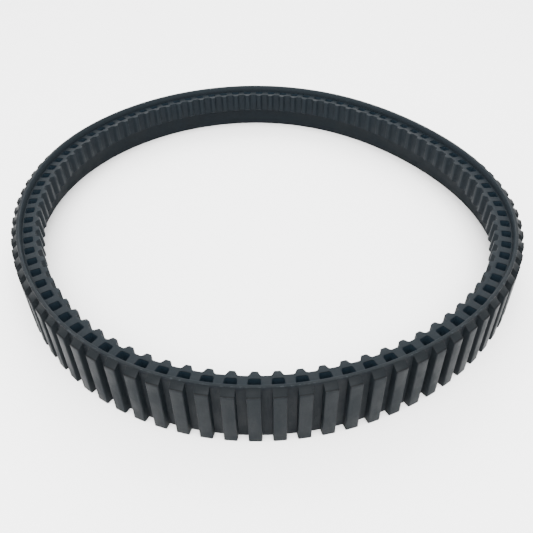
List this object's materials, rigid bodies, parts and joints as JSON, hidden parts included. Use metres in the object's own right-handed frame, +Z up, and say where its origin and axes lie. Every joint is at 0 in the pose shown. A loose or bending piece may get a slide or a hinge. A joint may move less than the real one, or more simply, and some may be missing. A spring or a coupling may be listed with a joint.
{
  "type": "rubber track",
  "caption": "Endless moulded rubber track for a small crawler, with outer traction bars, inner drive teeth and a ladder of open windows along one edge.",
  "frame": {"origin": "middle of the loop on the surface it stands on, at the bottom of its bounding box", "axes": "+Z is up, along the loop's axis, from the bottom edge to the rim; -Y is the front; +X is to the right"},
  "size_m": [0.4064, 0.4262, 0.044],
  "materials": {
    "tread_rubber": "moulded black rubber, satin, with light scuffs on the edges",
    "ladder_rubber": "moulded black rubber, matt",
    "cord_fibre": "undyed tensile fibre cord, not visible from outside"
  },
  "bodies": {
    "root": {"tread_front": "tread_rubber", "cord_ply_front": "cord_fibre", "drive_ladder_front": "ladder_rubber"},
    "right_1": {"tread_right_1": "tread_rubber", "cord_ply_right_1": "cord_fibre", "drive_ladder_right_1": "ladder_rubber"},
    "left_1": {"tread_left_1": "tread_rubber", "cord_ply_left_1": "cord_fibre", "drive_ladder_left_1": "ladder_rubber"},
    "right_2": {"tread_right_2": "tread_rubber", "cord_ply_right_2": "cord_fibre", "drive_ladder_right_2": "ladder_rubber"},
    "left_2": {"tread_left_2": "tread_rubber", "cord_ply_left_2": "cord_fibre", "drive_ladder_left_2": "ladder_rubber"},
    "right_3": {"tread_right_3": "tread_rubber", "cord_ply_right_3": "cord_fibre", "drive_ladder_right_3": "ladder_rubber"},
    "left_3": {"tread_left_3": "tread_rubber", "cord_ply_left_3": "cord_fibre", "drive_ladder_left_3": "ladder_rubber"},
    "right_4": {"tread_right_4": "tread_rubber", "cord_ply_right_4": "cord_fibre", "drive_ladder_right_4": "ladder_rubber"},
    "left_4": {"tread_left_4": "tread_rubber", "cord_ply_left_4": "cord_fibre", "drive_ladder_left_4": "ladder_rubber"},
    "right_5": {"tread_right_5": "tread_rubber", "cord_ply_right_5": "cord_fibre", "drive_ladder_right_5": "ladder_rubber"},
    "left_5": {"tread_left_5": "tread_rubber", "cord_ply_left_5": "cord_fibre", "drive_ladder_left_5": "ladder_rubber"},
    "right_6": {"tread_right_6": "tread_rubber", "cord_ply_right_6": "cord_fibre", "drive_ladder_right_6": "ladder_rubber"},
    "left_6": {"tread_left_6": "tread_rubber", "cord_ply_left_6": "cord_fibre", "drive_ladder_left_6": "ladder_rubber"},
    "right_7": {"tread_right_7": "tread_rubber", "cord_ply_right_7": "cord_fibre", "drive_ladder_right_7": "ladder_rubber"},
    "left_7": {"tread_left_7": "tread_rubber", "cord_ply_left_7": "cord_fibre", "drive_ladder_left_7": "ladder_rubber"},
    "right_8": {"tread_right_8": "tread_rubber", "cord_ply_right_8": "cord_fibre", "drive_ladder_right_8": "ladder_rubber"},
    "left_8": {"tread_left_8": "tread_rubber", "cord_ply_left_8": "cord_fibre", "drive_ladder_left_8": "ladder_rubber"},
    "right_9": {"tread_right_9": "tread_rubber", "cord_ply_right_9": "cord_fibre", "drive_ladder_right_9": "ladder_rubber"},
    "left_9": {"tread_left_9": "tread_rubber", "cord_ply_left_9": "cord_fibre", "drive_ladder_left_9": "ladder_rubber"}
  },
  "joints": [
    {"name": "bend_right_1", "type": "hinge", "parent": "root", "child": "right_1", "pos_m": [0.03283, -0.20361, 0], "axis": [0, 0, 1], "range_deg": [-13.66, 13.66]},
    {"name": "bend_left_1", "type": "hinge", "parent": "root", "child": "left_1", "pos_m": [-0.03672, -0.20278, 0], "axis": [0, 0, 1], "range_deg": [-13.54, 13.54]},
    {"name": "bend_right_2", "type": "hinge", "parent": "right_1", "child": "right_2", "pos_m": [0.09814, -0.17938, 0], "axis": [0, 0, 1], "range_deg": [-7.6, 7.6]},
    {"name": "bend_left_2", "type": "hinge", "parent": "left_1", "child": "left_2", "pos_m": [-0.10036, -0.17478, 0], "axis": [0, 0, 1], "range_deg": [-6.92, 6.92]},
    {"name": "bend_right_3", "type": "hinge", "parent": "right_2", "child": "right_3", "pos_m": [0.15199, -0.13517, 0], "axis": [0, 0, 1], "range_deg": [-1.99, 1.99]},
    {"name": "bend_left_3", "type": "hinge", "parent": "left_2", "child": "left_3", "pos_m": [-0.14952, -0.12541, 0], "axis": [0, 0, 1], "range_deg": [-2.89, 2.89]},
    {"name": "bend_right_4", "type": "hinge", "parent": "right_3", "child": "right_4", "pos_m": [0.1871, -0.0751, 0], "axis": [0, 0, 1], "range_deg": [-11.12, 11.12]},
    {"name": "bend_left_4", "type": "hinge", "parent": "left_3", "child": "left_4", "pos_m": [-0.18199, -0.06363, 0], "axis": [0, 0, 1], "range_deg": [-11, 11]},
    {"name": "bend_right_5", "type": "hinge", "parent": "right_4", "child": "right_5", "pos_m": [0.19625, -0.00618, 0], "axis": [0, 0, 1], "range_deg": [-15, 15], "stiffness_Nm_per_rad": 12},
    {"name": "bend_left_5", "type": "hinge", "parent": "left_4", "child": "left_5", "pos_m": [-0.19635, 0.00462, 0], "axis": [0, 0, 1], "range_deg": [-14.01, 14.01]},
    {"name": "bend_right_6", "type": "hinge", "parent": "right_5", "child": "right_6", "pos_m": [0.17935, 0.06141, 0], "axis": [0, 0, 1], "range_deg": [-11.22, 11.22]},
    {"name": "bend_left_6", "type": "hinge", "parent": "left_5", "child": "left_6", "pos_m": [-0.18812, 0.07377, 0], "axis": [0, 0, 1], "range_deg": [-11.06, 11.06]},
    {"name": "bend_right_7", "type": "hinge", "parent": "right_6", "child": "right_7", "pos_m": [0.14363, 0.12139, 0], "axis": [0, 0, 1], "range_deg": [-2.2, 2.2]},
    {"name": "bend_left_7", "type": "hinge", "parent": "left_6", "child": "left_7", "pos_m": [-0.15586, 0.13544, 0], "axis": [0, 0, 1], "range_deg": [-3.06, 3.06]},
    {"name": "bend_right_8", "type": "hinge", "parent": "right_7", "child": "right_8", "pos_m": [0.09392, 0.17035, 0], "axis": [0, 0, 1], "range_deg": [-7.54, 7.54]},
    {"name": "bend_left_8", "type": "hinge", "parent": "left_7", "child": "left_8", "pos_m": [-0.10358, 0.1814, 0], "axis": [0, 0, 1], "range_deg": [-6.86, 6.86]},
    {"name": "bend_right_9", "type": "hinge", "parent": "right_8", "child": "right_9", "pos_m": [0.03132, 0.20076, 0], "axis": [0, 0, 1], "range_deg": [-13.78, 13.78]},
    {"name": "bend_left_9", "type": "hinge", "parent": "left_8", "child": "left_9", "pos_m": [-0.03808, 0.2048, 0], "axis": [0, 0, 1], "range_deg": [-13.64, 13.64]}
  ],
  "couplings": [
    {"joint": "bend_right_1", "follows": "bend_right_5", "ratio": -0.9105},
    {"joint": "bend_left_1", "follows": "bend_right_5", "ratio": 0.9023},
    {"joint": "bend_right_2", "follows": "bend_right_5", "ratio": -0.5066},
    {"joint": "bend_left_2", "follows": "bend_right_5", "ratio": 0.4616},
    {"joint": "bend_right_3", "follows": "bend_right_5", "ratio": 0.1326},
    {"joint": "bend_left_3", "follows": "bend_right_5", "ratio": -0.1928},
    {"joint": "bend_right_4", "follows": "bend_right_5", "ratio": 0.7412},
    {"joint": "bend_left_4", "follows": "bend_right_5", "ratio": -0.7331},
    {"joint": "bend_left_5", "follows": "bend_right_5", "ratio": -0.9342},
    {"joint": "bend_right_6", "follows": "bend_right_5", "ratio": 0.748},
    {"joint": "bend_left_6", "follows": "bend_right_5", "ratio": -0.7374},
    {"joint": "bend_right_7", "follows": "bend_right_5", "ratio": 0.1463},
    {"joint": "bend_left_7", "follows": "bend_right_5", "ratio": -0.2037},
    {"joint": "bend_right_8", "follows": "bend_right_5", "ratio": -0.5029},
    {"joint": "bend_left_8", "follows": "bend_right_5", "ratio": 0.4575},
    {"joint": "bend_right_9", "follows": "bend_right_5", "ratio": -0.9184},
    {"joint": "bend_left_9", "follows": "bend_right_5", "ratio": 0.9095}
  ]
}
